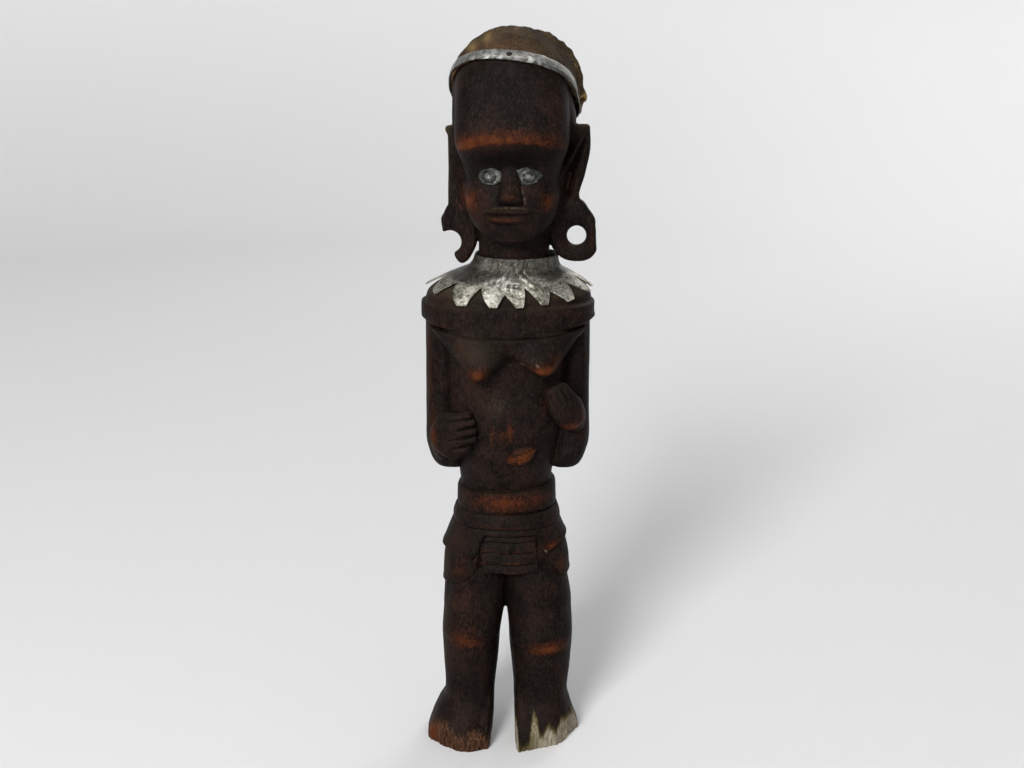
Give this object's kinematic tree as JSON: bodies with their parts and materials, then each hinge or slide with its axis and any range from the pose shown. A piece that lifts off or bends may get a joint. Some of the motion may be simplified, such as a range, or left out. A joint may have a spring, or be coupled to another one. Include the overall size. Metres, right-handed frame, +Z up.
{
  "type": "carved wood female figure",
  "caption": "Standing carved wood female figure with hands on the belly, a toothed metal collar, metal eye plates and a hide cap held by a nailed metal headband.",
  "frame": {"origin": "on the ground under the middle of the figure's bounding box, at the level of its soles", "axes": "+Z up along the body, -Y the way the figure faces, +X to the figure's own left"},
  "size_m": [0.0799, 0.0703, 0.34],
  "materials": {
    "dark_wood": "dark stain, handled to a dull sheen, worn red-brown on the high points",
    "hide": "dry brown hide with a rough nap and a frayed edge",
    "sheet_aluminium": "thin hand-cut sheet, scuffed and dull with bright rubbed spots",
    "iron_nail": "dark hammered nail head"
  },
  "bodies": {
    "root": {"figure": "dark_wood", "hide_cap": "hide", "headband": "sheet_aluminium", "headband_nail": "iron_nail", "collar": "sheet_aluminium", "right_eye_plate": "sheet_aluminium", "left_eye_plate": "sheet_aluminium"}
  },
  "joints": []
}
